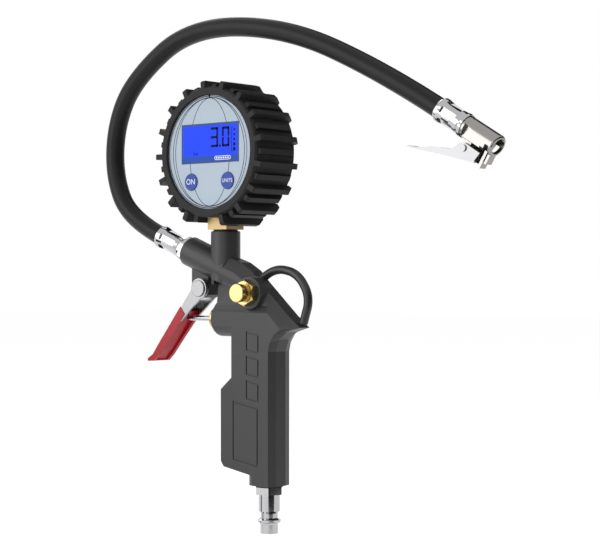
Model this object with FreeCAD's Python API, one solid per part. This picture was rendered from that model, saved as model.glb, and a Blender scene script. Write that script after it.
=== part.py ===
import FreeCAD, Part
import math
import os

V = FreeCAD.Vector
Y_AXIS = V(0, 1, 0)
Z_AXIS = V(0, 0, 1)

# ---- driving dimensions, mm. Origin: tip of the air-inlet plug, on its axis. +Z up, trigger at -X ----
BODY_BOTTOM = 26.5          # lower face of the grip
GRIP_HALF = 9.0             # half thickness of the grip
WEB_HALF = 7.3              # half thickness of the upper casting
CREST_HALF = 4.1            # half width of the rear and top crest
VALVE_Z = 118.5             # height of the inflation valve's axis
VALVE_FRONT = -36.5         # front face of the valve housing
STEM_X = -33.0              # axis of the gauge boss and stem
BOSS_TOP = 168.3
BARREL_TILT = 21.0          # upward slope of the outlet barrel, degrees
BARREL_END = V(-61.0, 0, 157.3)
BARREL_R = 8.6
PIVOT = V(-46.7, 0, 135.6)  # trigger pivot
RELEASE = V(-6.5, 0, 133.4)  # release valve's axis, along Y
GAUGE = V(STEM_X, 0, 212.5)  # centre of the gauge
BOOT_FRONT = -15.3
BOOT_BACK = 18.8
CASE_BACK = 16.5            # rear face of the gauge case, just inside the boot's lip
BOOT_R = 36.8               # base of the tread
LUG_R = (41.5, 39.4)        # long and short lugs
LUG_DROP = 1.2              # the tread sits this much below the dial's centre
LUG_COUNT = 34
DIAL_R = 32.0
DIAL_FRONT = -13.4
LCD = (-54.4, -10.8, 206.6, 228.4)   # window: x0, x1, z0, z1
KEY_X = 14.0                # each key's distance from the gauge's axis
KEY_Z = 196.0
KEY_R = 4.8
LOOP_R = 2.45
LOOP = [(-10.5, 138.6), (5.6, 147.3), (21.0, 144.1), (29.7, 131.2), (25.0, 117.0)]
HOSE_R = 5.5
HOSE_BORE = 3.0
ROUTE = [(-84, 166), (-110.8, 177), (-124.5, 202.3), (-123, 234), (-107, 260),
         (-61, 287), (13, 280), (82, 249), (117, 228)]
CHUCK_TILT = 30.96          # downward slope of the chuck, the slope of the last hose run
CHUCK_FERRULE = 19.0
CHUCK_END = 40.8
CHUCK_R = 5.9
MOUTH_START = 38.9          # the mouth's land, from here to the chuck's end
MOUTH_R = 4.25


def cyl(r, p, q):
    return Part.makeCylinder(r, (q - p).Length, p, q - p)


def ycyl(r, x, z, y0, y1):
    return Part.makeCylinder(r, y1 - y0, V(x, y0, z), Y_AXIS)


def zcyl(r, x, y, z0, z1):
    return Part.makeCylinder(r, z1 - z0, V(x, y, z0), Z_AXIS)


def xcyl(r, x0, x1, z=VALVE_Z):
    return Part.makeCylinder(r, x1 - x0, V(x0, 0, z), V(1, 0, 0))


def box(x0, x1, y0, y1, z0, z1):
    return Part.makeBox(x1 - x0, y1 - y0, z1 - z0, V(x0, y0, z0))


def outline(points, y):
    pts = [V(x, y, z) for x, z in points]
    return Part.makePolygon(pts + [pts[0]])


def plate(points, y0, y1):
    return Part.Face(outline(points, y0)).extrude(V(0, y1 - y0, 0))


def hexagon(af, start, axis, height, turn=0.0):
    r = af / math.sqrt(3)
    pts = [V(r * math.cos(math.radians(60 * i + turn)), r * math.sin(math.radians(60 * i + turn)), 0)
           for i in range(6)]
    solid = Part.Face(Part.makePolygon(pts + [pts[0]])).extrude(V(0, 0, height))
    solid.Placement = FreeCAD.Placement(start, FreeCAD.Rotation(Z_AXIS, axis))
    return solid


def revolve_z(profile):
    pts = [V(r, 0, z) for r, z in profile]
    return Part.Face(Part.makePolygon(pts + [pts[0]])).revolve(V(0, 0, 0), Z_AXIS, 360)


def revolve_x(profile):
    pts = [V(x, 0, r) for x, r in profile]
    return Part.Face(Part.makePolygon(pts + [pts[0]])).revolve(V(0, 0, 0), V(1, 0, 0), 360)


def coil(mean_r, wire_r, height, pitch, start, axis):
    helix = Part.makeHelix(pitch, height, mean_r)
    section = Part.Wire(Part.makeCircle(wire_r, V(mean_r, 0, 0), Y_AXIS))
    solid = Part.Wire(helix.Edges).makePipeShell([section], True, True)
    solid.Placement = FreeCAD.Placement(start, FreeCAD.Rotation(Z_AXIS, axis))
    return solid


def barrel_axis(tilt=BARREL_TILT):
    return V(-math.cos(math.radians(tilt)), 0, math.sin(math.radians(tilt)))


def along(p, direction, distance):
    return p + direction * distance


def inset(points, d):
    """A parallelogram (two upright sides) made smaller by d."""
    (xa, za), (xb, zb), (xc, zc), (xd, zd) = points
    slope = (zb - za) / (xb - xa)
    top_a = za - d * math.hypot(1, slope) + slope * d
    top_b = zb - d * math.hypot(1, slope) - slope * d
    low_b = zc + d * math.hypot(1, slope) - slope * d
    low_a = zd + d * math.hypot(1, slope) + slope * d
    return [(xa + d, top_a), (xb - d, top_b), (xc - d, low_b), (xd + d, low_a)]


# ---- pistol body ----
def envelope():
    """Casting limits at the rear and top: a crest with wide bevels down to the sides."""
    crest = [(-60, 20), (8.4, 20), (8.4, 101), (10.8, 107.5), (16.4, 111.9), (25.8, 114.5), (17.4, 121.1),
             (-4, 140.1), (-9.6, 145.7), (-17.6, 150.3), (-26, 153), (-60, 153)]
    side = [(-60, 20), (6.9, 20), (6.9, 101), (8.1, 106), (11.2, 110.6), (15, 113.4), (14.5, 114.7),
            (-8.2, 135.2), (-14, 140.6), (-20, 144.2), (-27, 146.4), (-60, 146.4)]
    shape = plate(crest, -CREST_HALF, CREST_HALF)
    for s in (-1, 1):
        ends = [outline(crest, s * CREST_HALF), outline(side, s * (GRIP_HALF + 0.1))]
        bevel = Part.makeLoft(ends, True, True)
        shape = shape.fuse(bevel)
    return shape


def grip_stock():
    profile = [(-20.4, 122.3), (-20.4, 86.5), (-29, 79.2), (-29, 38.8), (-27.1, 36.0), (-4.8, 32.1),
               (-3.2, 30.8), (-1.8, 27.8), (-0.4, 26.5), (30, 26.5), (30, 122.3)]
    shape = plate(profile, -GRIP_HALF, GRIP_HALF)
    boxes = [(e, e.BoundBox) for e in shape.Edges]
    front = [e for e, b in boxes if b.YLength < 0.01 and b.XMax < -19.9 and b.ZMax < 90]
    return shape.makeFillet(1.0, front)


def engraved(s):
    """Grooves of the three small frames and the tall one, on side s."""
    y0, y1 = sorted((s * (GRIP_HALF - 0.45), s * (GRIP_HALF + 1)))
    cuts = []
    for i in range(3):
        z = 112.1 - 13.55 * i
        outer = [(-9.3, z), (0.1, z - 1.6), (0.1, z - 12.1), (-9.3, z - 10.5)]
        cuts.append(plate(outer, y0, y1).cut(plate(inset(outer, 0.9), y0, y1)))
    outer = [(-19.3, 73.1), (-0.4, 69.9), (-0.4, 37.1), (-19.3, 40.3)]
    cuts.append(plate(outer, y0, y1).cut(plate(inset(outer, 0.9), y0, y1)))
    return cuts


def gun_body():
    axis = barrel_axis()
    stock = grip_stock()
    stock = stock.fuse(box(-34.6, -19, -GRIP_HALF, GRIP_HALF, VALVE_Z, 122.3))
    ends = []
    for half, z in ((GRIP_HALF, 122.3), (WEB_HALF, 126.3)):
        corners = [V(-34.6, -half, z), V(30, -half, z), V(30, half, z), V(-34.6, half, z)]
        ends.append(Part.makePolygon(corners + [corners[0]]))
    shelf = Part.makeLoft(ends, True, True)
    web = plate([(-34.6, 121), (-34, 127.5), (-34, 156), (30, 156), (30, 121)], -WEB_HALF, WEB_HALF)
    shoulder = plate([(-33, 148), (-13, 139.6), (0, 139.6), (0, 156), (-33, 156)], -8.5, 8.5)
    barrel_root = cyl(BARREL_R, along(BARREL_END, axis, -34), along(BARREL_END, axis, -53))
    body = stock.multiFuse([shelf, web, shoulder, barrel_root]).common(envelope())
    housing = xcyl(9.9, VALVE_FRONT, -12)
    housing = housing.makeFillet(2.0, [e for e in housing.Edges if e.BoundBox.XMax < VALVE_FRONT + 0.01])
    housing = housing.common(box(-40, 0, -GRIP_HALF, GRIP_HALF, 100, 130))
    boss = zcyl(8.4, STEM_X, 0, 138, BOSS_TOP)
    boss = boss.makeFillet(1.0, [e for e in boss.Edges if e.BoundBox.ZMin > BOSS_TOP - 0.01])
    barrel = cyl(BARREL_R, BARREL_END, along(BARREL_END, axis, -34))
    barrel = barrel.makeFillet(0.8, [e for e in barrel.Edges if e.BoundBox.XMax < -55])
    lug = [(-55.3, 153), (-55.3, 133.5), (-52.5, 130.4), (-44.5, 130.4), (-42.5, 132), (-42.5, 147)]
    lug = plate(lug, -4.5, 4.5)
    release = ycyl(9.2, RELEASE.x, RELEASE.z, -10.5, 0)
    release = release.makeFillet(0.8, [e for e in release.Edges if e.BoundBox.YMax < -10.4])
    foot = zcyl(8.5, -3.5, 0, BODY_BOTTOM, 34)
    body = body.multiFuse([housing, boss, barrel, lug, release, foot])
    for s in (-1, 1):
        wedge = plate([(-34.6, 126.8), (-22.0, 136.6), (-34.6, 140.5)], -3, 3)
        wedge.rotate(V(-22.0, 0, 136.6), V(12.6, 0, 9.8), s * 9)
        wedge.translate(V(0, s * (WEB_HALF + 2.0), 0))
        body = body.cut(wedge)
    cuts = engraved(-1) + engraved(1)
    cuts.append(zcyl(6.5, 0, 0, BODY_BOTTOM - 1, 39))                      # inlet thread
    cuts.append(zcyl(3.5, 0, 0, 38, VALVE_Z))                             # inlet passage
    cuts.append(xcyl(5.5, VALVE_FRONT - 1, 4.0))                          # valve bore
    cuts.append(zcyl(6.0, STEM_X, 0, 154.0, BOSS_TOP + 1))                # gauge thread
    cuts.append(cyl(2.2, V(STEM_X, 0, 155), V(-22.5, 0, VALVE_Z)))        # slanted air passage
    cuts.append(cyl(5.0, along(BARREL_END, axis, 1), along(BARREL_END, axis, -13)))   # outlet thread
    cuts.append(cyl(2.2, BARREL_END, along(BARREL_END, axis, -56)))       # outlet passage
    cuts.append(ycyl(4.5, RELEASE.x, RELEASE.z, -11.5, -1.0))             # release-valve thread
    cuts.append(ycyl(2.0, PIVOT.x, PIVOT.z, -6, 6))                       # trigger pin's bore
    cuts.append(loop_solid())
    for c in cuts:
        body = body.cut(c)
    return body


def rounded_wire(points):
    """Straight runs in the plane Y = 0, joined by tangent arcs."""
    pts = [V(x, 0, z) for x, z in points]
    edges = []
    last = pts[0]
    for i in range(1, len(pts) - 1):
        a, b, c = pts[i - 1], pts[i], pts[i + 1]
        back = (a - b).normalize()
        ahead = (c - b).normalize()
        turn = math.pi - back.getAngle(ahead)
        tangent = 0.45 * min((a - b).Length, (c - b).Length)
        radius = tangent / math.tan(turn / 2)
        print("bend %d: turn %.0f degrees, radius %.0f mm" % (i, math.degrees(turn), radius))
        p = b + back * tangent
        q = b + ahead * tangent
        bisector = (back + ahead).normalize()
        middle = b + bisector * (radius / math.cos(turn / 2) - radius)
        edges.append(Part.LineSegment(last, p).toShape())
        edges.append(Part.Arc(p, middle, q).toShape())
        last = q
    edges.append(Part.LineSegment(last, pts[-1]).toShape())
    return Part.Wire(edges)


def tube(points, r, wire):
    start = V(points[0][0], 0, points[0][1])
    way = V(points[1][0], 0, points[1][1]) - start
    section = Part.Wire(Part.makeCircle(r, start, way))
    return wire.makePipeShell([section], True, True)


def loop_solid():
    """Round rod from the head over to the tail."""
    return tube(LOOP, LOOP_R, rounded_wire(LOOP))


# ---- air inlet ----
def air_inlet_plug():
    profile = [(0, 0), (5.0, 0), (5.0, 5.0), (5.9, 6.1), (6.5, 6.4), (6.5, 7.6), (5.9, 7.9), (4.85, 8.7),
               (4.85, 11.2), (6.0, 12.4), (6.0, 21.7), (6.6, 21.7), (6.6, 25.7), (6.5, 25.7), (6.5, 38.5),
               (0, 38.5)]
    shape = revolve_z(profile).fuse(hexagon(14.2, V(0, 0, 21.7), Z_AXIS, 4.0, 8))
    return shape.cut(zcyl(3.4, 0, 0, -1, 40))


def inlet_seal():
    return zcyl(7.6, 0, 0, 25.7, 26.5).cut(zcyl(6.5, 0, 0, 25, 27))


# ---- inflation valve ----
def valve_gland():
    shape = xcyl(6.3, -40.5, VALVE_FRONT).fuse(xcyl(5.5, VALVE_FRONT, -28))
    shape = shape.makeFillet(0.7, [e for e in shape.Edges if e.BoundBox.XMax < -40.4])
    shape = shape.cut(xcyl(1.56, -42, -26))
    return shape.cut(xcyl(2.8, -30.6, -27))


def pin_seal():
    return Part.makeTorus(2.17, 0.6, V(-29.4, 0, VALVE_Z), V(1, 0, 0))


def valve_pin():
    stem = xcyl(1.5, -62.3, -9.0)
    return stem.fuse(xcyl(4.3, -9.9, -8.0)).fuse(xcyl(1.5, -8.0, -6.2))


def valve_seat():
    return xcyl(5.5, -15.5, -10.0).cut(xcyl(2.6, -16, -9.5))


def valve_spring():
    return coil(2.7, 0.35, 5.6, 1.4, V(-2.6, 0, VALVE_Z), V(1, 0, 0))


# ---- trigger ----
def arm_side(y0, y1):
    arm = plate([(-51.6, 138.2), (-66.4, 119.4), (-62.9, 116.7), (-44.2, 132.2)], y0, y1)
    return arm.fuse(ycyl(5.2, PIVOT.x, PIVOT.z, y0, y1))


def trigger_lever():
    shape = arm_side(-6.4, -5.0).fuse(arm_side(5.0, 6.4))
    web = plate([(-58.8, 128.9), (-66.4, 119.4), (-65.3, 118.5), (-57.7, 128.0)], -6.4, 6.4)
    tongue = plate([(-66.4, 119.4), (-74.0, 110.0), (-72.9, 109.1), (-65.3, 118.5)], -4.4, 4.4)
    shape = shape.multiFuse([web, tongue])
    return shape.cut(ycyl(2.04, PIVOT.x, PIVOT.z, -8, 8))


def trigger_grip():
    side = [(-62.6, 125.0), (-80.6, 102.7), (-85.0, 97.0), (-89.2, 94.4), (-88.9, 93.0), (-84.4, 93.2),
            (-80.6, 96.6), (-71.4, 107.2), (-59.2, 120.8)]
    shape = plate(side, -6.8, 6.8)
    hollow = [(-60.6, 122.4), (-78.4, 100.6), (-84.3, 94.6), (-84.3, 90.0), (-50, 90), (-50, 122.4)]
    shape = shape.cut(plate(hollow, -4.6, 4.6))
    return shape.cut(trigger_lever())


def trigger_pin():
    shape = ycyl(2.0, PIVOT.x, PIVOT.z, -8.0, 8.4)
    shape = shape.fuse(ycyl(5.85, PIVOT.x, PIVOT.z, -8.0, -6.5))
    cap = ycyl(4.75, PIVOT.x, PIVOT.z, -8.9, -8.0)
    cap = cap.makeFillet(0.4, [e for e in cap.Edges if e.BoundBox.YMax < -8.8])
    return shape.fuse(cap)


def trigger_pin_clip():
    return ycyl(4.2, PIVOT.x, PIVOT.z, 6.5, 7.5).cut(ycyl(2.0, PIVOT.x, PIVOT.z, 6, 9))


# ---- release valve ----
def release_nut():
    shape = hexagon(13.0, V(RELEASE.x, -10.5, RELEASE.z), V(0, -1, 0), 4.2, 30)
    limit = Part.makeCone(6.4, 8.6, 2.2, V(RELEASE.x, -14.7, RELEASE.z), Y_AXIS).fuse(
        ycyl(8.6, RELEASE.x, RELEASE.z, -12.5, -10.5))
    shape = shape.common(limit)
    shape = shape.fuse(ycyl(4.9, RELEASE.x, RELEASE.z, -15.9, -14.7))
    shape = shape.fuse(ycyl(4.5, RELEASE.x, RELEASE.z, -10.5, -2.0))
    shape = shape.cut(ycyl(2.55, RELEASE.x, RELEASE.z, -17, 0))
    return shape.cut(ycyl(3.6, RELEASE.x, RELEASE.z, -17, -10.6))


def release_button():
    shape = ycyl(5.2, RELEASE.x, RELEASE.z, -20.4, -18.1)
    shape = shape.makeFillet(0.6, [e for e in shape.Edges if e.BoundBox.YMax < -20.3])
    shape = shape.fuse(ycyl(3.5, RELEASE.x, RELEASE.z, -18.1, -15.6))
    shape = shape.fuse(ycyl(1.6, RELEASE.x, RELEASE.z, -15.6, -4.6))
    return shape


def release_seal():
    return Part.makeTorus(2.08, 0.45, V(RELEASE.x, -6.0, RELEASE.z), Y_AXIS)


def release_spring():
    return coil(2.6, 0.3, 1.9, 0.95, V(RELEASE.x, -10.9, RELEASE.z), V(0, -1, 0))


# ---- gauge ----
def gauge_stem():
    shape = box(STEM_X - 7.2, STEM_X + 7.2, -7.2, 7.2, 169.1, 178.6)
    shape = shape.fuse(zcyl(6.0, STEM_X, 0, 156.5, 169.1)).fuse(zcyl(5.0, STEM_X, 0, 178.6, 187.0))
    return shape.cut(zcyl(1.5, STEM_X, 0, 150, 190))


def stem_seal():
    return zcyl(6.9, STEM_X, 0, BOSS_TOP, 169.1).cut(zcyl(6.0, STEM_X, 0, 168, 170))


def lug_solid(r, y0, y1, half):
    profile = [(y0, 35.6), (y0, r - 0.9), (y0 + 0.9, r), (y1 - 4.2, r), (y1, r - 3.2), (y1, 35.6)]
    pts = [V(-half, y, z) for y, z in profile]
    solid = Part.Face(Part.makePolygon(pts + [pts[0]])).extrude(V(2 * half, 0, 0))
    solid.translate(GAUGE)
    return solid


def gauge_boot():
    cx, cz = GAUGE.x, GAUGE.z
    profile = [(33.4, DIAL_FRONT + 0.8), (32.1, DIAL_FRONT + 0.8), (32.1, BOOT_FRONT + 0.3),
               (32.5, BOOT_FRONT), (35.8, BOOT_FRONT), (BOOT_R, BOOT_FRONT + 1.0), (BOOT_R, BOOT_BACK - 2.0),
               (35.0, BOOT_BACK), (26.0, BOOT_BACK), (26.0, BOOT_BACK - 2.2), (33.4, BOOT_BACK - 2.2)]
    pts = [V(cx + r, y, cz) for r, y in profile]
    shape = Part.Face(Part.makePolygon(pts + [pts[0]])).revolve(GAUGE, Y_AXIS, 360)
    lugs = []
    for i in range(LUG_COUNT):
        angle = 270 + i * 360 / LUG_COUNT
        if abs(angle % 360 - 180) > 13:
            long = i % 2 == 0
            lug = lug_solid(LUG_R[0 if long else 1], BOOT_FRONT + (0 if long else 1.6),
                            BOOT_BACK - (0 if long else 1.5), 1.5)
            lug.rotate(GAUGE, Y_AXIS, angle)
            lugs.append(lug)
    tread = Part.makeCompound(lugs)
    tread.translate(V(0, 0, -LUG_DROP))
    shape = shape.multiFuse(tread.Solids)
    return shape.cut(box(cx - 7.4, cx + 7.4, -7.4, 7.4, 168, 184))


def gauge_case():
    cx, cz = GAUGE.x, GAUGE.z
    shape = ycyl(33.2, cx, cz, -12.6, CASE_BACK).cut(ycyl(31.2, cx, cz, -11.0, 18))
    x0, x1, z0, z1 = LCD
    shape = shape.cut(box(x0 + 1.5, x1 - 1.5, -13, -10, z0 + 1.5, z1 - 1.5))
    for s in (-1, 1):
        shape = shape.cut(ycyl(KEY_R + 0.1, cx + s * KEY_X, KEY_Z, -14, -10))
    shape = shape.cut(zcyl(5.1, cx, 0, 176, 184))
    return shape.cut(box(cx - 7.3, cx + 7.3, -7.3, 7.3, 170, 179.4))


def dial_plate():
    cx, cz = GAUGE.x, GAUGE.z
    x0, x1, z0, z1 = LCD
    shape = ycyl(DIAL_R, cx, cz, DIAL_FRONT, -12.6).cut(box(x0, x1, -14, -12, z0, z1))
    for s in (-1, 1):
        shape = shape.cut(ycyl(KEY_R + 0.1, cx + s * KEY_X, KEY_Z, -14, -10))
    top = cz + DIAL_R
    notch = [(cx - 1.4, top + 0.5), (cx + 1.4, top + 0.5), (cx, top - 1.6)]
    return shape.cut(plate(notch, -14, -12))


def lcd_lens():
    x0, x1, z0, z1 = LCD
    return box(x0, x1, DIAL_FRONT + 0.15, -12.6, z0, z1)


def lcd_module():
    x0, x1, z0, z1 = LCD
    return box(x0 - 0.8, x1 + 0.8, -11.0, -8.2, z0 - 0.8, z1 + 0.8)


def key_cap(s):
    x = GAUGE.x + s * KEY_X
    cap = ycyl(KEY_R, x, KEY_Z, -14.1, -10.9)
    cap = cap.makeFillet(0.35, [e for e in cap.Edges if e.BoundBox.YMax < -14.0])
    return cap.fuse(ycyl(1.5, x, KEY_Z, -10.9, -9.0))


def circuit_board():
    cx, cz = GAUGE.x, GAUGE.z
    return ycyl(29.0, cx, cz, -8.2, -6.6).cut(box(cx - 7, cx + 7, -9, -6, 180, 192)).cut(
        ycyl(3.0, cx - KEY_X, KEY_Z, -9, -6)).cut(ycyl(3.0, cx + KEY_X, KEY_Z, -9, -6))


def battery():
    return ycyl(10.0, GAUGE.x, GAUGE.z + 10, -6.6, -3.4)


def pressure_sensor():
    shape = zcyl(6.5, STEM_X, 0, 187.0, 193.0)
    return shape.fuse(zcyl(3.0, STEM_X, 0, 193.0, 195.5))


def case_back():
    cx, cz = GAUGE.x, GAUGE.z
    shape = ycyl(31.2, cx, cz, CASE_BACK - 1.8, CASE_BACK)
    for x, z in screw_places():
        shape = shape.cut(ycyl(1.2, x, z, 14, 18))
    return shape


def screw_places():
    return [(GAUGE.x + 20 * math.cos(math.radians(a)), GAUGE.z + 20 * math.sin(math.radians(a)))
            for a in (45, 135, 225, 315)]


def back_screws():
    solids = []
    for x, z in screw_places():
        head = ycyl(2.2, x, z, CASE_BACK, CASE_BACK + 1.3).fuse(ycyl(1.2, x, z, 10.0, CASE_BACK))
        slot = CASE_BACK + 0.7
        head = head.cut(box(x - 1.5, x + 1.5, slot, 19, z - 0.3, z + 0.3))
        solids.append(head.cut(box(x - 0.3, x + 0.3, slot, 19, z - 1.5, z + 1.5)))
    return Part.makeCompound(solids)


# ---- hose ----
def hose():
    wire = rounded_wire(ROUTE)
    shape = tube(ROUTE, HOSE_R, wire).cut(tube(ROUTE, HOSE_BORE, wire))
    section = math.pi * (HOSE_R ** 2 - HOSE_BORE ** 2)
    print("hose length %.1f mm, volume %.0f" % (wire.Length, shape.Volume))
    print("hose section x length %.0f" % (section * wire.Length))
    return shape


def gun_hose_fitting():
    axis = barrel_axis()
    shape = cyl(5.0, along(BARREL_END, axis, -12), BARREL_END)
    shape = shape.fuse(hexagon(13.4, BARREL_END, axis, 3.2))
    shape = shape.fuse(cyl(4.6, BARREL_END, along(BARREL_END, axis, 6.2)))
    return shape.cut(cyl(1.8, along(BARREL_END, axis, -20), along(BARREL_END, axis, 10)))


def ferrule(length):
    """Crimped sleeve along +X from the hose end: a bead, a waist with six pressed pads, a flared end."""
    profile = [(0, 6.2), (0.8, 6.7), (2.2, 6.7), (6, 6.1), (length - 8, 5.9), (length - 3, 6.3),
               (length - 1.5, 6.6), (length, 6.4), (length, 0), (0, 0)]
    shape = revolve_x(profile)
    for i in range(6):
        pad = box(3.6, length - 5.4, -1.7, 1.7, 5.35, 8)
        pad.rotate(V(0, 0, 0), V(1, 0, 0), 60 * i + 15)
        shape = shape.cut(pad)
    return shape


def gun_ferrule():
    end = V(ROUTE[0][0], 0, ROUTE[0][1])
    way = (end - V(ROUTE[1][0], 0, ROUTE[1][1])).normalize()
    shape = ferrule(21.4).cut(xcyl(2.0, -1, 30, 0))
    shape.Placement = FreeCAD.Placement(end, FreeCAD.Rotation(V(1, 0, 0), way))
    axis = barrel_axis()
    shape = shape.cut(cyl(9.0, along(BARREL_END, axis, -5), along(BARREL_END, axis, 3.2)))
    return shape.cut(cyl(4.6, BARREL_END, along(BARREL_END, axis, 6.2)))


# ---- chuck, built along +X from the hose end, then set on the hose's slope ----
def chuck_place(shape):
    shape.rotate(V(0, 0, 0), Y_AXIS, CHUCK_TILT)
    shape.translate(V(ROUTE[-1][0], 0, ROUTE[-1][1]))
    return shape


def chuck_ferrule():
    return chuck_place(ferrule(CHUCK_FERRULE).cut(xcyl(3.6, -1, 30, 0)))


def chuck_hose_tail():
    shape = xcyl(3.6, 1, CHUCK_FERRULE, 0).fuse(xcyl(4.6, CHUCK_FERRULE, 20.5, 0))
    return chuck_place(shape.cut(xcyl(1.8, -5, 25, 0)))


def chuck_body():
    shape = xcyl(CHUCK_R, CHUCK_FERRULE, CHUCK_END, 0)
    shape = shape.makeFillet(1.2, [e for e in shape.Edges if e.BoundBox.XMin > CHUCK_END - 0.01])
    shape = shape.fuse(box(MOUTH_START, 40.2, -2.6, 2.6, -10.4, -4.6))        # fin under the mouth
    shape = shape.cut(xcyl(4.6, 18, 20.5, 0)).cut(xcyl(1.8, 18, 34, 0))
    shape = shape.cut(xcyl(4.6, 33.4, MOUTH_START, 0)).cut(xcyl(MOUTH_R, 33.4, 43, 0))
    window = plate([(20.6, 2.4), (33.2, 0.3), (33.2, -7), (20.6, -7)], -7, -3.6)
    step = plate([(33.1, 0.3), (35.9, -0.1), (35.9, -7), (33.1, -7)], -7, -4.8)
    shape = shape.cut(window).cut(step)
    shape = shape.cut(box(35.8, MOUTH_START, -7, 7, -7, -0.8))                # slot of the clip jaw
    cheek = box(23.4, 27.4, -3.0, 3.0, -10.9, -4.4)
    return chuck_place(shape.fuse(cheek).cut(ycyl(1.0, 25.3, -9.2, -4, 4)))


def lever_shape():
    """Pressed clip lever: two side plates on a back plate, and a shallow trough as the thumb tail."""
    side = [(17.0, -17.6), (19.1, -13.0), (22.1, -7.6), (24.5, -6.5), (35.4, -6.7), (34.2, -12.3)]
    back = [(17.0, -17.7), (34.6, -12.5), (34.8, -11.6), (17.2, -16.8)]
    tail = [(17.0, -17.7), (7.0, -21.0), (-6.3, -25.4), (-6.8, -24.6), (6.8, -20.1), (17.2, -16.8)]
    rim = [(17.5, -17.0), (19.1, -13.0), (7.4, -17.7), (-1.0, -22.6), (5.0, -21.0)]
    shape = plate(back, -4.6, 4.6).fuse(plate(tail, -4.0, 4.0))
    for s in (-1, 1):
        shape = shape.fuse(plate(side, *sorted((s * 3.4, s * 4.6))))
        shape = shape.fuse(plate(rim, *sorted((s * 3.3, s * 4.0))))
    return shape.cut(ycyl(1.03, 25.3, -9.2, -6, 6))


def chuck_lever():
    return chuck_place(lever_shape())


def chuck_rivet():
    shape = ycyl(1.0, 25.3, -9.2, -5.2, 5.2)
    shape = shape.fuse(ycyl(1.8, 25.3, -9.2, -5.4, -4.65)).fuse(ycyl(1.8, 25.3, -9.2, 4.65, 5.4))
    return chuck_place(shape)


def chuck_jaw():
    """Clip strip on the lever: its curved lip grips the thread of the tyre valve."""
    shape = box(36.4, 38.0, -2.6, 2.6, -13.2, -4.4).cut(xcyl(4.35, 30, 45, 0))
    shape = shape.fuse(box(34.0, 38.0, -2.6, 2.6, -13.8, -12.2))
    return chuck_place(shape.cut(lever_shape()))


def chuck_seal():
    return chuck_place(xcyl(4.5, 33.5, 35.4, 0).cut(xcyl(1.9, 33, 36, 0)))


def chuck_depressor():
    shape = xcyl(1.2, 27.5, 36.4, 0)
    return chuck_place(shape.fuse(xcyl(1.75, 27.5, 29.5, 0)).cut(xcyl(0.5, 27, 34, 0)))


PARTS = {
    "gun_body": gun_body, "hanging_loop": loop_solid, "air_inlet_plug": air_inlet_plug,
    "inlet_seal": inlet_seal, "valve_gland": valve_gland, "pin_seal": pin_seal, "valve_pin": valve_pin,
    "valve_seat": valve_seat, "valve_spring": valve_spring, "trigger_lever": trigger_lever,
    "trigger_grip": trigger_grip, "trigger_pin": trigger_pin, "trigger_pin_clip": trigger_pin_clip,
    "release_nut": release_nut, "release_button": release_button, "release_seal": release_seal,
    "release_spring": release_spring, "gauge_stem": gauge_stem, "stem_seal": stem_seal,
    "gauge_boot": gauge_boot, "gauge_case": gauge_case, "dial_plate": dial_plate, "lcd_lens": lcd_lens,
    "lcd_module": lcd_module, "power_button": lambda: key_cap(-1), "units_button": lambda: key_cap(1),
    "circuit_board": circuit_board, "battery": battery, "pressure_sensor": pressure_sensor,
    "case_back": case_back, "back_screws": back_screws, "hose": hose,
    "gun_hose_fitting": gun_hose_fitting, "gun_ferrule": gun_ferrule, "chuck_ferrule": chuck_ferrule,
    "chuck_hose_tail": chuck_hose_tail, "chuck_body": chuck_body, "chuck_lever": chuck_lever,
    "chuck_rivet": chuck_rivet, "chuck_jaw": chuck_jaw, "chuck_seal": chuck_seal,
    "chuck_depressor": chuck_depressor,
}

os.makedirs("parts", exist_ok=True)
for name, make in PARTS.items():
    solid = make()
    print(name, "solids", len(solid.Solids), "valid", solid.isValid(), "volume %.1f" % solid.Volume)
    solid.exportStep("parts/%s.step" % name)
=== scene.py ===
import math
import bpy
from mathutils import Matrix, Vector


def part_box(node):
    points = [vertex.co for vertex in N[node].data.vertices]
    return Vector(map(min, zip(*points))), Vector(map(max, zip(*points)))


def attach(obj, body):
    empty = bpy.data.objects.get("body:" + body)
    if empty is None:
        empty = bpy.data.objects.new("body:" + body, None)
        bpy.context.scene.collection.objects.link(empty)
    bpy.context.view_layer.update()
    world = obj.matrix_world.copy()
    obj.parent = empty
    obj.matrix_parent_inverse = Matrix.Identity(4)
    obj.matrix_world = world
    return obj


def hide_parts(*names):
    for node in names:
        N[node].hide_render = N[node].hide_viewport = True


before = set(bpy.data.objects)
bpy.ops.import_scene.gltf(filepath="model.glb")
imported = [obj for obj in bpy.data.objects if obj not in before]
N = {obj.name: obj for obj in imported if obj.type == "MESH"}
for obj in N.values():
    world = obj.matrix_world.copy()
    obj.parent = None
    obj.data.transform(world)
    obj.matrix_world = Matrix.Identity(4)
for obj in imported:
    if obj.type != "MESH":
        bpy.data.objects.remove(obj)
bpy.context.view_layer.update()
MM = 0.001      # places and sizes of printed pieces and of the sheets of painted groove shade are in mm, lights and camera in metres


# ---------------- materials ----------------
BROAD_NOISE = 60.0      # scale of the slow change of colour and roughness over a piece


def noise(nt, scale, detail, vector):
    """A noise texture on the given coordinates."""
    node = nt.nodes.new("ShaderNodeTexNoise")
    node.inputs["Scale"].default_value = scale
    node.inputs["Detail"].default_value = detail
    nt.links.new(vector, node.inputs["Vector"])
    return node


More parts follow.
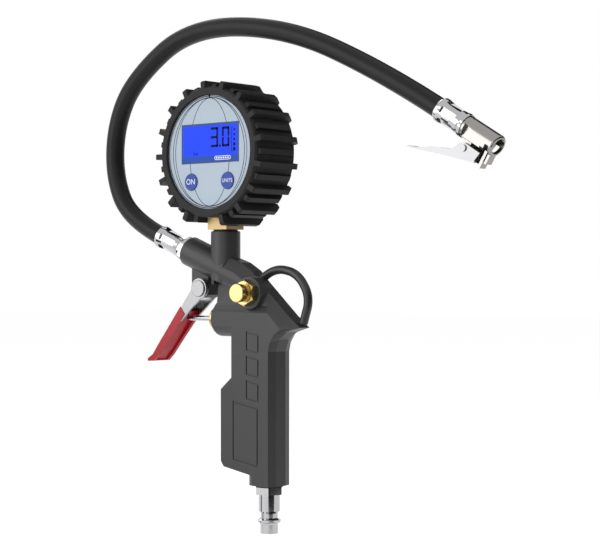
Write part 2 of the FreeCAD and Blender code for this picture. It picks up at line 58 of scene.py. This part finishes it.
def material(name, color, rough, metal=0.0, spec=0.5, vary=0.08, grain=900.0, bump=0.15, shade=0.12, coat=0.0,
             stretch=(1, 1, 1), emission=None, strength=0.0):
    """A Principled finish with fine noise in its colour, its roughness and its surface."""
    m = bpy.data.materials.new(name)
    m.use_nodes = True
    nt = m.node_tree
    p = nt.nodes["Principled BSDF"]
    place = nt.nodes.new("ShaderNodeTexCoord").outputs["Object"]
    mapping = nt.nodes.new("ShaderNodeMapping")
    mapping.inputs["Scale"].default_value = stretch
    nt.links.new(place, mapping.inputs["Vector"])
    fine = noise(nt, grain, 4.0, mapping.outputs["Vector"])
    broad = noise(nt, BROAD_NOISE, 5.0, place)
    ramp = nt.nodes.new("ShaderNodeMapRange")
    ramp.inputs["To Min"].default_value = max(0.02, rough - vary)
    ramp.inputs["To Max"].default_value = min(1.0, rough + vary)
    nt.links.new(broad.outputs["Fac"], ramp.inputs["Value"])
    nt.links.new(ramp.outputs["Result"], p.inputs["Roughness"])
    mix = nt.nodes.new("ShaderNodeMix")
    mix.data_type = "RGBA"
    dark = [c * (1 - shade) for c in color]
    light = [min(1.0, c * (1 + shade)) for c in color]
    mix.inputs["A"].default_value = (*dark, 1)
    mix.inputs["B"].default_value = (*light, 1)
    nt.links.new(broad.outputs["Fac"], mix.inputs["Factor"])
    nt.links.new(mix.outputs["Result"], p.inputs["Base Color"])
    relief = nt.nodes.new("ShaderNodeBump")
    relief.inputs["Strength"].default_value = bump
    relief.inputs["Distance"].default_value = 0.06 * MM
    nt.links.new(fine.outputs["Fac"], relief.inputs["Height"])
    nt.links.new(relief.outputs["Normal"], p.inputs["Normal"])
    p.inputs["Metallic"].default_value = metal
    p.inputs["Specular IOR Level"].default_value = spec
    p.inputs["Coat Weight"].default_value = coat
    if emission:
        p.inputs["Emission Color"].default_value = (*emission, 1)
        p.inputs["Emission Strength"].default_value = strength
    return m


M = {
    # the gun
    "cast": material("cast_black", (0.022, 0.022, 0.0225), 0.42, spec=0.42, grain=1500, bump=0.25),
    # painted shade: near-black for the sheets laid along the grip panels' grooves
    "groove": material("groove_painted_shade", (0.002, 0.002, 0.002), 0.6, spec=0.05, shade=0.3),
    "rod": material("rod_black", (0.011, 0.011, 0.011), 0.34, spec=0.45, grain=1200),
    "red": material("red_vinyl", (0.30, 0.004, 0.011), 0.34, spec=0.28, vary=0.06, grain=700, bump=0.12,
                    coat=0.04),
    # rubber
    "rubber": material("rubber_black", (0.0155, 0.0155, 0.0165), 0.5, spec=0.14, grain=1400, bump=0.35),
    "hose": material("hose_rubber", (0.009, 0.009, 0.0095), 0.36, spec=0.16, grain=1800, bump=0.3),
    # metals
    "chrome": material("chrome", (0.46, 0.46, 0.47), 0.10, metal=1.0, vary=0.05, shade=0.03, bump=0.04),
    "nickel": material("nickel", (0.31, 0.30, 0.285), 0.22, metal=1.0, vary=0.06, shade=0.05, bump=0.08),
    "zinc": material("zinc_steel", (0.27, 0.27, 0.275), 0.26, metal=1.0, vary=0.08, shade=0.05, bump=0.08),
    "brass": material("brass", (0.56, 0.42, 0.18), 0.27, metal=1.0, vary=0.06, shade=0.05, bump=0.06),
    "brass_sawn": material("brass_stem", (0.46, 0.33, 0.155), 0.42, metal=0.6, vary=0.08, shade=0.07, bump=0.2,
                           stretch=(1, 1, 12)),
    # the gauge
    "dial": material("dial_silver", (0.31, 0.37, 0.43), 0.45, metal=0.05, spec=0.3, vary=0.05, shade=0.05,
                     bump=0.08, stretch=(1, 1, 14)),
    "ink": material("dial_ink", (0.012, 0.017, 0.028), 0.6, spec=0.1),
    "case": material("case_black", (0.012, 0.012, 0.013), 0.5, spec=0.3),
    "lcd_frame": material("lcd_frame", (0.012, 0.045, 0.19), 0.3, spec=0.2, shade=0.06, bump=0.03),
    "lcd_light": material("lcd_backlight", (0.005, 0.02, 0.35), 0.3, spec=0.08, shade=0.04, bump=0.02,
                          emission=(0.012, 0.055, 1.0), strength=0.75),
    "lcd_strip": material("lcd_strip", (0.01, 0.05, 0.24), 0.3, spec=0.1, shade=0.05, bump=0.03,
                          emission=(0.02, 0.07, 0.4), strength=0.2),
    "segment": material("lcd_segment", (0.006, 0.008, 0.02), 0.6, spec=0.05),
    "key": material("key_blue", (0.018, 0.05, 0.25), 0.36, spec=0.25, shade=0.08, bump=0.08),
    "white": material("white_print", (0.62, 0.65, 0.7), 0.5, spec=0.2, shade=0.03),
    "board": material("board_green", (0.02, 0.2, 0.07), 0.5),
}
WEARS = {
    "cast": ("gun_body",),
    "rod": ("hanging_loop",),
    "red": ("trigger_grip",),
    "rubber": ("inlet_seal", "pin_seal", "release_seal", "stem_seal", "gauge_boot", "chuck_seal"),
    "hose": ("hose",),
    "chrome": ("air_inlet_plug", "gun_ferrule", "chuck_ferrule", "gun_hose_fitting", "valve_pin"),
    "nickel": ("chuck_body", "chuck_jaw"),
    "zinc": ("trigger_lever", "trigger_pin", "trigger_pin_clip", "chuck_lever", "chuck_rivet", "back_screws",
             "valve_spring", "release_spring", "battery", "pressure_sensor"),
    "brass": ("valve_gland", "valve_seat", "release_nut", "release_button", "chuck_hose_tail", "chuck_depressor"),
    "brass_sawn": ("gauge_stem",),
    "dial": ("dial_plate",),
    "case": ("gauge_case", "case_back", "lcd_module"),
    "lcd_frame": ("lcd_lens",),
    "key": ("power_button", "units_button"),
    "board": ("circuit_board",),
}
for finish, nodes in WEARS.items():
    for node in nodes:
        N[node].data.materials.clear()
        N[node].data.materials.append(M[finish])


# ---------------- pieces ----------------
def link(name, data):
    """A new object in the scene with the given mesh, curve, text, light or camera."""
    o = bpy.data.objects.new(name, data)
    bpy.context.scene.collection.objects.link(o)
    return o


def finish_mesh(name, verts, faces, mat):
    """A piece that rides on the gun, from vertices in mm."""
    me = bpy.data.meshes.new(name)
    me.from_pydata([(x * MM, y * MM, z * MM) for x, y, z in verts], [], faces)
    me.update()
    o = link(name, me)
    me.materials.append(mat)
    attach(o, "gun")


def join_boxes(name, boxes, mat):
    """Small flat boxes (x0, x1, y0, y1, z0, z1 in mm) of the display as one piece."""
    sides = ((0, 1, 3, 2), (4, 6, 7, 5), (0, 4, 5, 1), (2, 3, 7, 6), (0, 2, 6, 4), (1, 5, 7, 3))
    verts, faces = [], []
    for x0, x1, y0, y1, z0, z1 in boxes:
        first = len(verts)
        verts += [(x, y, z) for x in (x0, x1) for y in (y0, y1) for z in (z0, z1)]
        faces += [[first + i for i in side] for side in sides]
    finish_mesh(name, verts, faces, mat)


# ---------------- grip panels ----------------
GROOVE_WIDTH = 0.9
SHADE_SHEET_Y = 8.54         # the groove's floor is at 8.55, so the sheets of painted groove shade lie 0.01 mm inside the casting, unseen
PANEL_PITCH = 13.55
SMALL_PANEL = {"left": -9.3, "right": 0.1, "fall": 1.6, "height": 10.5}
TALL_PANEL = {"left": -19.3, "right": -0.4, "fall": 3.2, "height": 32.8}
SMALL_TOP, TALL_TOP = 112.1, 73.1


def groove_shade_sheet(name, side, top, left, right, fall, height):
    """A sheet of painted shade along a panel's groove: upright sides, and a top and bottom that fall towards the
    back.
    """
    slope = -fall / (right - left)
    drop = GROOVE_WIDTH * math.hypot(1, slope)
    corners = []
    for x0, x1, inset in ((left, right, 0), (left + GROOVE_WIDTH, right - GROOVE_WIDTH, drop)):
        z0, z1 = (top + slope * (x - left) - inset for x in (x0, x1))
        upright = height - 2 * inset
        corners += [(x0, z0), (x1, z1), (x1, z1 - upright), (x0, z0 - upright)]
    verts = [(x, side * SHADE_SHEET_Y, z) for x, z in corners]
    faces = [(i, (i + 1) % 4, 4 + (i + 1) % 4, 4 + i) for i in range(4)]
    finish_mesh(name, verts, faces, M["groove"])


# sheets of painted shade along the grooves of the grip panels, on both sides
for side, side_name in ((-1, "near"), (1, "far")):
    for i in range(3):
        groove_shade_sheet("groove_%s_%d" % (side_name, i), side, SMALL_TOP - PANEL_PITCH * i, **SMALL_PANEL)
    groove_shade_sheet("groove_%s_tall" % side_name, side, TALL_TOP, **TALL_PANEL)


# ---------------- hose ----------------
# The centre line in x and z, in the plane y = 0, from the gun's ferrule to the chuck's.
ROUTE = [(-84, 166), (-110.8, 177), (-124.5, 202.3), (-123, 234), (-107, 260),
         (-61, 287), (13, 280), (82, 249), (117, 228)]
HOSE_RADIUS = 5.5


def hose_tube():
    cu = bpy.data.curves.new("hose_tube", "CURVE")
    cu.dimensions = "3D"
    sp = cu.splines.new("NURBS")
    sp.points.add(len(ROUTE) - 1)
    for p, (x, z) in zip(sp.points, ROUTE):
        p.co = (x * MM, 0, z * MM, 1)
    sp.order_u = 3
    sp.use_endpoint_u = True
    sp.resolution_u = 24
    cu.bevel_depth = HOSE_RADIUS * MM
    cu.bevel_resolution = 10
    cu.materials.append(M["hose"])
    return link("hose_tube", cu)


hose = hose_tube()
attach(hose, "gun")
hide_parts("hose")


# ---------------- dial print ----------------
DIAL_X, DIAL_Z = -33.0, 212.5       # middle of the dial
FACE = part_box("dial_plate")[0].y / MM
PRINT = 0.02                        # how far print stands off its ground, and half a word's thickness
DIAL_LINE = 0.4
DIAL_ELLIPSES = ((31.4, 31.4), (28.4, 30.6), (26.6, 30.6), (15.4, 30.4))


def ellipse_line(name, across, up):
    """A printed ellipse on the dial, with half axes across and up."""
    n = 96
    y = FACE - PRINT
    verts, faces = [], []
    for i in range(n):
        t = 2 * math.pi * i / n
        for k in (-DIAL_LINE / 2, DIAL_LINE / 2):
            verts.append((DIAL_X + (across + k) * math.cos(t), y, DIAL_Z + (up + k) * math.sin(t)))
        j = (i + 1) % n
        faces.append((2 * i, 2 * j, 2 * j + 1, 2 * i + 1))
    finish_mesh(name, verts, faces, M["ink"])


for k, (across, up) in enumerate(DIAL_ELLIPSES):
    ellipse_line("dial_line_%d" % k, across, up)


# ---------------- display ----------------
lens_lo, lens_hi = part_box("lcd_lens")
LEFT, RIGHT, BOTTOM, TOP = [v / MM for v in (lens_lo.x, lens_hi.x, lens_lo.z, lens_hi.z)]
LENS_FACE = lens_lo.y / MM
COVER_FACE = FACE - 0.12
COVER_LAP = 0.3         # the cover laps over the lens on every side
LIT_LEFT, LIT_RIGHT = LEFT + 1.1, RIGHT - 0.9
LIT_BOTTOM, STRIP_TOP, LIT_TOP = BOTTOM + 0.8, BOTTOM + 3.7, TOP - 1.0

join_boxes("lcd_cover", [(LEFT - COVER_LAP, RIGHT + COVER_LAP, COVER_FACE, LENS_FACE - PRINT,
                          BOTTOM - COVER_LAP, TOP + COVER_LAP)], M["lcd_frame"])
join_boxes("lcd_glow", [(LIT_LEFT, LIT_RIGHT, COVER_FACE - 0.04, COVER_FACE, STRIP_TOP, LIT_TOP)],
           M["lcd_light"])
join_boxes("lcd_lower", [(LIT_LEFT, LIT_RIGHT, COVER_FACE - 0.03, COVER_FACE, LIT_BOTTOM, STRIP_TOP)],
           M["lcd_strip"])

DIGIT_BASE, DIGIT_HEIGHT = 215.0, 11.2
STROKE = 1.35
STROKE_GAP = 0.25       # left free at the end of a stroke
STROKES = {"3": "abcdg", "0": "abcdef"}
POINT = 1.3
LEVEL_X, LEVEL_TOP, LEVEL_PITCH = -13.9, 224.2, 2.7
LEVEL_HALVES = (0.55, 0.6, 0.7, 0.85, 0.95)
BRACKET_LEFT, BRACKET_INNER, BRACKET_RIGHT = -16.0, -15.6, -15.0
BRACKET_BOTTOM, BRACKET_TOP, BRACKET_FOOT = 212.0, 225.6, 0.3


def stroke(x0, x1, z0, z1):
    """A dark patch of the display."""
    return (x0, x1, COVER_FACE - 0.07, COVER_FACE - 0.04, z0, z1)


def digit(x, w, which):
    """The strokes of a seven-stroke digit of width w, with its left side at x."""
    z, h, t, g = DIGIT_BASE, DIGIT_HEIGHT, STROKE, STROKE_GAP
    m = z + h / 2
    bars = {
        "a": (x + g, x + w - g, z + h - t, z + h),
        "b": (x + w - t, x + w, m + g, z + h - g),
        "c": (x + w - t, x + w, z + g, m - g),
        "d": (x + g, x + w - g, z, z + t),
        "e": (x, x + t, z + g, m - g),
        "f": (x, x + t, m + g, z + h - g),
        "g": (x + g, x + w - g, m - t / 2, m + t / 2),
    }
    return [stroke(*bars[s]) for s in STROKES[which]]


segments = digit(-32.0, 5.8, "3") + digit(-23.2, 5.6, "0")
segments.append(stroke(-25.5, -25.5 + POINT, DIGIT_BASE, DIGIT_BASE + POINT))
for i, half in enumerate(LEVEL_HALVES):
    z = LEVEL_TOP - LEVEL_PITCH * i
    segments.append(stroke(LEVEL_X - half, LEVEL_X + half, z - half, z + half))
segments.append(stroke(BRACKET_LEFT, BRACKET_INNER, BRACKET_BOTTOM, BRACKET_TOP))
for z in (BRACKET_BOTTOM, BRACKET_TOP - BRACKET_FOOT):
    segments.append(stroke(BRACKET_INNER, BRACKET_RIGHT, z, z + BRACKET_FOOT))
join_boxes("lcd_segments", segments, M["segment"])


def word(name, text, x, z, size, y, mat, body, squeeze=1.0):
    """A printed word centred at x, z on a face that looks along -Y."""
    cu = bpy.data.curves.new(name, "FONT")
    cu.body = text
    cu.size = size * MM
    cu.align_x = "CENTER"
    cu.align_y = "CENTER"
    cu.extrude = PRINT * MM
    cu.materials.append(mat)
    o = link(name, cu)
    o.location = (x * MM, y * MM, z * MM)
    o.rotation_euler = (math.pi / 2, 0, 0)
    o.scale = (squeeze, 1, 1)
    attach(o, body)


word("lcd_unit", "bar", -43.3, 212.0, 3.2, COVER_FACE - 0.06, M["segment"], "gun")

BADGE_LEFT, BADGE_RIGHT, BADGE_Z = -29.0, -16.6, 208.9
BADGE_RIM = 0.4
CELL_LEFT, CELL_WIDTH, CELL_HALF, CELL_PITCH = -27.9, 1.2, 0.4, 1.75


def pill(name, x0, x1, r, y0, y1, mat):
    """A flat bar with round ends at the badge's height."""
    n = 14
    turns = [math.pi * i / n for i in range(n + 1)]
    rim = [(x0 + r - r * math.sin(t), BADGE_Z + r * math.cos(t)) for t in turns]
    rim += [(x1 - r + r * math.sin(t), BADGE_Z - r * math.cos(t)) for t in turns]
    k = len(rim)
    verts = [(x, y, z) for y in (y0, y1) for x, z in rim]
    faces = [tuple(range(k)), tuple(range(2 * k - 1, k - 1, -1))]
    faces += [(i, (i + 1) % k, k + (i + 1) % k, k + i) for i in range(k)]
    finish_mesh(name, verts, faces, mat)


pill("lcd_badge", BADGE_LEFT, BADGE_RIGHT, 1.15, COVER_FACE - 0.06, COVER_FACE - 0.03, M["white"])
pill("lcd_badge_inner", BADGE_LEFT + BADGE_RIM, BADGE_RIGHT - BADGE_RIM, 0.8, COVER_FACE - 0.08,
     COVER_FACE - 0.06, M["lcd_strip"])
cells = [CELL_LEFT + CELL_PITCH * i for i in range(6)]
join_boxes("lcd_badge_cells", [(x, x + CELL_WIDTH, COVER_FACE - 0.1, COVER_FACE - 0.08, BADGE_Z - CELL_HALF,
                                BADGE_Z + CELL_HALF) for x in cells], M["white"])

# ---------------- keys ----------------
KEY_Z = 196.0


def key_word(name, text, key, body, size, shift=0.0, squeeze=1.0):
    """The white word on a key, moved sideways by shift."""
    lo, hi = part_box(key)
    word(name, text, (lo.x + hi.x) / 2 / MM + shift, KEY_Z, size, lo.y / MM - PRINT, M["white"], body,
         squeeze)


key_word("key_on_word", "ON", "power_button", "power_key", 4.4)
key_word("key_units_word", "UNITS", "units_button", "units_key", 2.9, shift=0.15, squeeze=0.98)


# ---------------- floor, light, camera ----------------
AIM = (0, 0, 0.15)      # the middle of the object
PLUG = (0, 0, 0.02)     # the middle of the air-inlet plug


def plain(name, grey):
    """A matt finish with no sheen, for the set."""
    m = bpy.data.materials.new(name)
    m.use_nodes = True
    p = m.node_tree.nodes["Principled BSDF"]
    p.inputs["Base Color"].default_value = (grey, grey, grey, 1)
    p.inputs["Roughness"].default_value = 0.9
    p.inputs["Specular IOR Level"].default_value = 0.0
    return m


def sheet(name, width, height, mat):
    """A flat rectangle in its own plane z = 0."""
    me = bpy.data.meshes.new(name)
    w, h = width / 2, height / 2
    me.from_pydata([(-w, -h, 0), (w, -h, 0), (w, h, 0), (-w, h, 0)], [], [(0, 1, 2, 3)])
    me.materials.append(mat)
    return link(name, me)


def aim(o, place, target):
    o.location = place
    o.rotation_euler = (Vector(target) - Vector(place)).to_track_quat("-Z", "Y").to_euler()


def softbox(name, place, size, power):
    la = bpy.data.lights.new(name, "AREA")
    la.shape = "RECTANGLE"
    la.size, la.size_y = size
    la.energy = power
    aim(link(name, la), place, AIM)


def dark_card(name, place, width, height, target=AIM):
    """A black card beside the set: it is seen only in reflections."""
    o = sheet(name, width, height, card)
    aim(o, place, target)
    o.visible_camera = False
    o.visible_diffuse = False
    o.visible_shadow = False


floor = sheet("floor", 12, 12, plain("floor_white", 0.99))
floor.location.z = -0.05

world = bpy.data.worlds.new("studio")
bpy.context.scene.world = world
world.use_nodes = True
sky = world.node_tree.nodes["Background"]
sky.inputs["Color"].default_value = (1, 1, 1, 1)
sky.inputs["Strength"].default_value = 1.0
bpy.context.scene.view_settings.view_transform = "Standard"

card = plain("card_black", 0.01)
dark_card("rear_card", (1.15, 0.6, 0.25), 2.4, 1.4)
dark_card("right_card", (1.45, -0.75, 0.2), 1.5, 1.3)
dark_card("top_card", (-0.3, 1.0, 1.1), 1.8, 0.9)
dark_card("plug_card", (0.316, -0.152, 0.02), 0.44, 0.13, PLUG)
dark_card("plug_edge_card", (-0.27, -0.22, 0.02), 0.09, 0.13, PLUG)
softbox("key_light", (-0.75, -1.25, 0.45), (0.9, 1.3), 9)
softbox("fill_light", (0.2, -1.5, 0.9), (0.8, 0.5), 2)
softbox("back_light", (-0.9, 0.7, 0.9), (0.5, 0.5), 2)

cam = bpy.data.cameras.new("camera")
cam.lens = 101.5
cam.sensor_width = 36
camera = link("camera", cam)
camera.location = (0.62226, -0.70476, 0.14333)
camera.rotation_euler = (math.pi / 2, 0, math.radians(40.4))
bpy.context.scene.camera = camera
